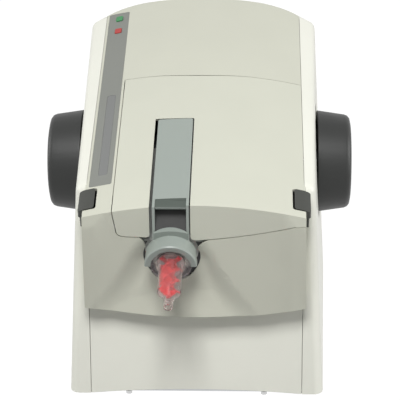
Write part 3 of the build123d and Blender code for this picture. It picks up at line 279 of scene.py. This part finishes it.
def mouldedPlastic(name, look):
    tree, shader, place = newFinish(name)
    cloud = noiseNode(tree, place, moulding["cloudSize"], moulding["cloudDetail"])
    mottle(tree, shader, cloud, look["color"], moulding)
    sheen = noiseNode(tree, place, look["grain"] * moulding["sheenGrains"], moulding["grainDetail"])
    varyGloss(tree, shader, sheen, look["rough"], moulding)
    if look["depth"]:
        grain = noiseNode(tree, place, look["grain"], moulding["grainDetail"])
        bump = tree.nodes.new("ShaderNodeBump")
        bump.inputs["Strength"].default_value = look["depth"]
        bump.inputs["Distance"].default_value = moulding["grainHeight"]
        tree.links.new(grain, bump.inputs["Height"])
        tree.links.new(bump.outputs["Normal"], shader.inputs["Normal"])


def workedMetal(name, look):
    tree, shader, place = newFinish(name)
    shader.inputs["Metallic"].default_value = 1.0
    streaks = tree.nodes.new("ShaderNodeMapping")
    streaks.inputs["Scale"].default_value = brushing["stretch"]
    tree.links.new(place, streaks.inputs["Vector"])
    size = look["grain"] * brushing["streakGrains"]
    brush = noiseNode(tree, streaks.outputs["Vector"], size, brushing["detail"])
    mottle(tree, shader, brush, look["color"], brushing)
    varyGloss(tree, shader, brush, look["rough"], brushing)


def clearPlastic(name, look):
    tree, shader, place = newFinish(name)
    shader.inputs["Transmission Weight"].default_value = look["clear"]
    shader.inputs["IOR"].default_value = look["bend"]
    shader.inputs["Roughness"].default_value = look["rough"]
    cloud = noiseNode(tree, place, tipMottle["cloudSize"], tipMottle["cloudDetail"])
    mottle(tree, shader, cloud, look["color"], tipMottle)


for name, look in finishes.items():
    mouldedPlastic(name, look)
for name, look in metals.items():
    workedMetal(name, look)
clearPlastic("clearTip", clearTip)
print("finishes ready:", len(materials))

# Finish of each CAD node
nodeFinish = {
    # Lid and panels take lighter copies of the housing plastic, with painted light
    "upper_housing": "housingPlastic", "lid": "lidPlasticPaintedLight", "left_side_panel": "panelPlasticPaintedLight",
    "right_side_panel": "panelPlasticPaintedLight", "front_panel": "panelPlasticPaintedLight", "rear_panel": "panelPlasticPaintedLight",
    "control_strip": "stripFilm", "level_window": "windowTint", "green_key": "greenKey",
    "red_key": "redKey", "level_pointer": "pointerPlastic", "lid_hinge_pin": "turnedSteel",
    "mixing_tip": "clearTip", "mixing_rotor": "rotorRed", "mixer_shaft": "turnedSteel",
    "mixer_motor": "motorCan", "mixer_motor_mount": "blackPlasticAndPaintedShade", "cartridge_yoke": "cartridgePlastic",
    "large_barrel": "cartridgePlastic", "small_barrel": "cartridgePlastic",
    "lever_pin": "turnedSteel", "locking_lever": "leverPlastic", "finger_pad": "padPlastic",
    "large_plunger": "pistonPlastic", "small_plunger": "pistonPlastic", "crosshead": "sheetSteel",
    "cross_shaft": "turnedSteel", "large_pinion": "gearBrass", "small_pinion": "gearBrass",
    "drive_gear": "gearAcetal", "drive_motor": "motorCan", "motor_pinion": "turnedSteel",
    # The bay's front plate is black to paint the deep shade seen through the gaps round the collar
    "bay_frame": "sheetSteel", "bay_front_plate": "blackPlasticAndPaintedShade", "rack_guides": "blackPlasticAndPaintedShade",
    "left_frame_plate": "sheetSteel", "right_frame_plate": "sheetSteel", "shaft_bearings": "bearingBronze",
    "base_plate": "sheetSteel", "rubber_feet": "footRubber", "panel_screws": "turnedSteel",
    "left_handwheel": "wheelPlastic", "right_handwheel": "wheelPlastic",
    "left_start_button": "buttonPlastic", "right_start_button": "buttonPlastic",
    "left_button_switch": "blackPlasticAndPaintedShade", "right_button_switch": "blackPlasticAndPaintedShade",
    "key_board": "boardLacquer", "mains_inlet": "blackPlasticAndPaintedShade", "power_switch": "blackPlasticAndPaintedShade",
    "power_rocker": "blackPlasticAndPaintedShade", "power_supply": "sheetSteel", "control_board": "boardLacquer",
}
# Edge rounding in millimetres where a moulded skin stands for the node
skins = {
    "upper_housing": 0.8, "lid": 0.8, "left_side_panel": 0.6, "right_side_panel": 0.6,
    "front_panel": 0.6, "rear_panel": 0.5, "control_strip": 0.15, "level_window": 0.1,
    "green_key": 0.4, "red_key": 0.4, "locking_lever": 0.5, "finger_pad": 0.5,
    "cartridge_yoke": 0.4, "bay_front_plate": 0.3, "bay_frame": 0.3,
    "left_start_button": 0.7, "right_start_button": 0.7, "left_handwheel": 0.6, "right_handwheel": 0.6,
    "mains_inlet": 0.4, "power_switch": 0.3, "power_rocker": 0.4, "mixing_rotor": 0.15,
}
# How a skin is made: loose triangles merged (metres), flat ones joined and edges rounded (degrees)
skinMaking = {"weld": 0.00002, "flatAngle": 0.6, "edgeAngle": 32, "segments": 2}


def mergedCopy(node):
    bm = bmesh.new()
    bm.from_mesh(nodes[node].data)
    bmesh.ops.remove_doubles(bm, verts=bm.verts, dist=skinMaking["weld"])
    flat = math.radians(skinMaking["flatAngle"])
    bmesh.ops.dissolve_limit(
        bm, angle_limit=flat, use_dissolve_boundaries=False, verts=bm.verts, edges=bm.edges
    )
    for face in bm.faces:
        face.smooth = True
    mesh = bpy.data.meshes.new(node + "Skin")
    bm.to_mesh(mesh)
    bm.free()
    piece = bpy.data.objects.new(node + "Skin", mesh)
    scene.collection.objects.link(piece)
    return piece


# Front mask of the housing and the lid, in metres
mask = {
    "topZ": 0.2252, "topCrown": 1.07,      # break between deck and mask, and its fall toward the sides
    "planeY": -0.12105, "planeTurn": 7.5, "floorZ": 0.004,      # front panel: foot and backward tilt
    "sideY": -0.14445, "sideRise": 0.0059, "riseFrom": 0.093, "riseTo": 0.271,
    "topBulge": 0.0005, "lowBulge": 0.0135, "halfWidth": 0.109, "flare": 0.003,
    "lean": 0.200, "sight": 0.42,          # how far it leans back, and down along the line of sight
    "buttonRoom": 0.013, "buttonSide": (0.084, 0.099),          # no lean beside the start buttons
    "frontY": -0.105,                      # what lies ahead of this belongs to the front
    "cell": 0.003, "plainCell": 0.006, "cellFoot": 0.104,       # cuts that let the surface bend
}
# Bell under the mixing tip, from its foot to its head: height and half width
bell = {
    "tipX": -0.0225, "depth": 0.0170, "wall": 0.0027, "inside": 0.026, "outside": 0.008,
    "foot": (0.113, 0.080), "head": (0.200, 0.030), "curve": 1.6, "footReach": 1.1,
    "floorLow": 0.096, "floorHigh": 0.166, "top": (0.168, 0.194),
    "reachZ": 0.196, "castY": -0.4, "skinY": -0.13, "skinGap": 0.0004,
    "shallow": 0.0004, "funnel": 0.0012,   # where the CAD's own funnel is pressed to the new form
    "backShallow": 0.001, "backZ": 0.186, "backReach": 0.02,
}
cuts = {"sideX": 0.111, "topZ": 0.225, "reachZ": 0.228, "weld": 0.00001}


def smoothStep(value, low, high):
    share = min(1, max(0, (value - low) / (high - low)))
    return share * share * (3 - 2 * share)


def maskFlat(x, z):
    share = (z - mask["riseFrom"]) / (mask["riseTo"] - mask["riseFrom"])
    side = mask["sideY"] + mask["sideRise"] * share
    sag = mask["topBulge"] * share + mask["lowBulge"] * (1 - share)
    half = mask["halfWidth"] + mask["flare"] * (1 - share)
    radius = (half ** 2 + sag ** 2) / (2 * sag)
    return side - sag + radius - math.sqrt(radius ** 2 - min(abs(x), half) ** 2)


def bellRim(z):
    (footZ, footHalf), (headZ, headHalf) = bell["foot"], bell["head"]
    share = min(bell["footReach"], max(0, (headZ - z) / (headZ - footZ)))
    return headHalf + (footHalf - headHalf) * share ** bell["curve"]


def bellHollow(x, z):
    away = abs(x - bell["tipX"])
    rim = bellRim(z)
    floor = min(1, max(0, (z - bell["floorLow"]) / (bell["floorHigh"] - bell["floorLow"])))
    wall = 1 - smoothStep(away, rim - bell["inside"], rim + bell["outside"])
    return bell["depth"] * floor * wall * (1 - smoothStep(z, *bell["top"]))


def leanBack(co):
    plane = mask["planeY"] + (co.z - mask["floorZ"]) * math.tan(math.radians(mask["planeTurn"]))
    ahead = plane - co.y
    below = mask["topZ"] - mask["topCrown"] * co.x ** 2 - co.z
    below -= mask["buttonRoom"] * smoothStep(abs(co.x), *mask["buttonSide"])
    if ahead <= 0 or below <= 0:
        return
    step = mask["lean"] * below * min(1, ahead / (plane - mask["sideY"]))
    co.y += step
    co.z -= mask["sight"] * step


# Faces of the front that the cut at this place along the axis goes through
def crossedFaces(bm, axis, place):
    crossed = []
    for face in bm.faces:
        if any(v.co.y >= mask["frontY"] or v.co.z >= cuts["reachZ"] for v in face.verts):
            continue
        along = [getattr(v.co, axis) for v in face.verts]
        if min(along) < place < max(along):
            crossed.append(face)
    return crossed


def cutCells(bm, cell, footZ):
    rows = (("x", -cuts["sideX"], cuts["sideX"], (1, 0, 0)), ("z", footZ, cuts["topZ"], (0, 0, 1)))
    for axis, low, high, normal in rows:
        for i in range(int((high - low) / cell) + 1):
            place = low + i * cell
            faces = crossedFaces(bm, axis, place)
            edges = list(dict.fromkeys(e for f in faces for e in f.edges))
            verts = list(dict.fromkeys(v for f in faces for v in f.verts))
            spot = Vector(normal) * place
            geom = faces + edges + verts
            bmesh.ops.bisect_plane(bm, geom=geom, plane_co=spot, plane_no=normal, dist=cuts["weld"])


# A bmesh of the piece with its modifiers applied
def bakedForm(piece):
    mesh = bpy.data.meshes.new_from_object(piece.evaluated_get(bpy.context.evaluated_depsgraph_get()))
    piece.modifiers.clear()
    piece.data = mesh
    bm = bmesh.new()
    bm.from_mesh(mesh)
    return bm


def keepForm(piece, bm):
    bmesh.ops.recalc_face_normals(bm, faces=bm.faces)
    bm.to_mesh(piece.data)
    bm.free()


def pressBell(bm):
    shell = BVHTree.FromBMesh(bm)
    skin = []
    inner = []
    for vert in bm.verts:
        x, y, z = vert.co
        if y > mask["frontY"] or z > bell["reachZ"]:
            continue
        spot = shell.ray_cast(Vector((x, bell["castY"], z)), Vector((0, 1, 0)))[0]
        if spot and abs(spot.y - y) < bell["skinGap"] and y < bell["skinY"]:
            skin.append(vert)
        else:
            inner.append(vert)
    for vert in skin:
        flat = maskFlat(vert.co.x, vert.co.z)
        hollow = bellHollow(vert.co.x, vert.co.z)
        if hollow > bell["shallow"] or vert.co.y - flat > bell["funnel"]:
            vert.co.y = flat + hollow
    for vert in inner:
        hollow = bellHollow(vert.co.x, vert.co.z)
        back = maskFlat(vert.co.x, vert.co.z) + hollow + bell["wall"]
        deep = hollow > bell["backShallow"] and vert.co.z < bell["backZ"]
        if deep and back - bell["backReach"] < vert.co.y < back:
            vert.co.y = back


def shapeFront(piece, hasBell):
    bm = bakedForm(piece)
    cutCells(bm, mask["cell"] if hasBell else mask["plainCell"], mask["cellFoot"])
    if hasBell:
        bm.normal_update()
        pressBell(bm)
    for vert in bm.verts:
        leanBack(vert.co)
    keepForm(piece, bm)


# The cartridge's head and the bay's front stay behind the bell, all round the collar
head = {
    "clear": 0.004, "collarR": 0.0195, "tipZ": 0.1655, "keep": 0.12,
    "frontY": -0.11, "cell": 0.004, "cellFoot": 0.138,
}


def tuckHead(piece):
    bm = bakedForm(piece)
    cutCells(bm, head["cell"], head["cellFoot"])
    for vert in bm.verts:
        x, y, z = vert.co
        if y > head["frontY"] or math.hypot(x - bell["tipX"], z - head["tipZ"]) < head["collarR"]:
            continue
        lean = mask["lean"] * max(0, mask["topZ"] - mask["topCrown"] * x ** 2 - z)
        limit = maskFlat(x, z) + bellHollow(x, z) + lean + head["clear"]
        if y < limit:
            vert.co.y = limit - head["keep"] * (limit - y)
    keepForm(piece, bm)


# Deck frame in metres and degrees, and the height of the step between the pad's hood and its tray, below
# which the pad gets painted shade
deck = {"y": -0.14105, "z": 0.211, "turn": 16.7, "trayTop": 0.0040}


# Faces of the finger pad below the hood's step take the near-black copy of its plastic: painted shade in
# the recess under the pad
def paintTrayShade(piece):
    turn = math.radians(deck["turn"])
    piece.data.materials.append(materials["trayPaintedShade"])
    for face in piece.data.polygons:
        rise = (face.center.z - deck["z"]) * math.cos(turn) - (face.center.y - deck["y"]) * math.sin(turn)
        if rise < deck["trayTop"]:
            face.material_index = 1


def mouldedSkin(node, rounding):
    piece = mergedCopy(node)
    bevel = piece.modifiers.new("edgeRounding", "BEVEL")
    bevel.width = rounding * mm
    bevel.segments = skinMaking["segments"]
    bevel.limit_method = "ANGLE"
    bevel.angle_limit = math.radians(skinMaking["edgeAngle"])
    bevel.use_clamp_overlap = True
    bevel.harden_normals = False
    if node in ("upper_housing", "lid"):
        shapeFront(piece, node == "upper_housing")
    if node in ("cartridge_yoke", "bay_front_plate", "bay_frame"):
        tuckHead(piece)
    normals = piece.modifiers.new("faceNormals", "WEIGHTED_NORMAL")
    normals.keep_sharp = True
    piece.data.materials.append(materials[nodeFinish[node]])
    # The pad's tray gets painted shade
    if node == "finger_pad":
        paintTrayShade(piece)
    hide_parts(node)
    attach(piece, nodeBody[node])


for node, obj in nodes.items():
    if node in skins:
        mouldedSkin(node, skins[node])
    else:
        obj.data.materials.clear()
        obj.data.materials.append(materials[nodeFinish[node]])
print("nodes finished:", len(nodes))
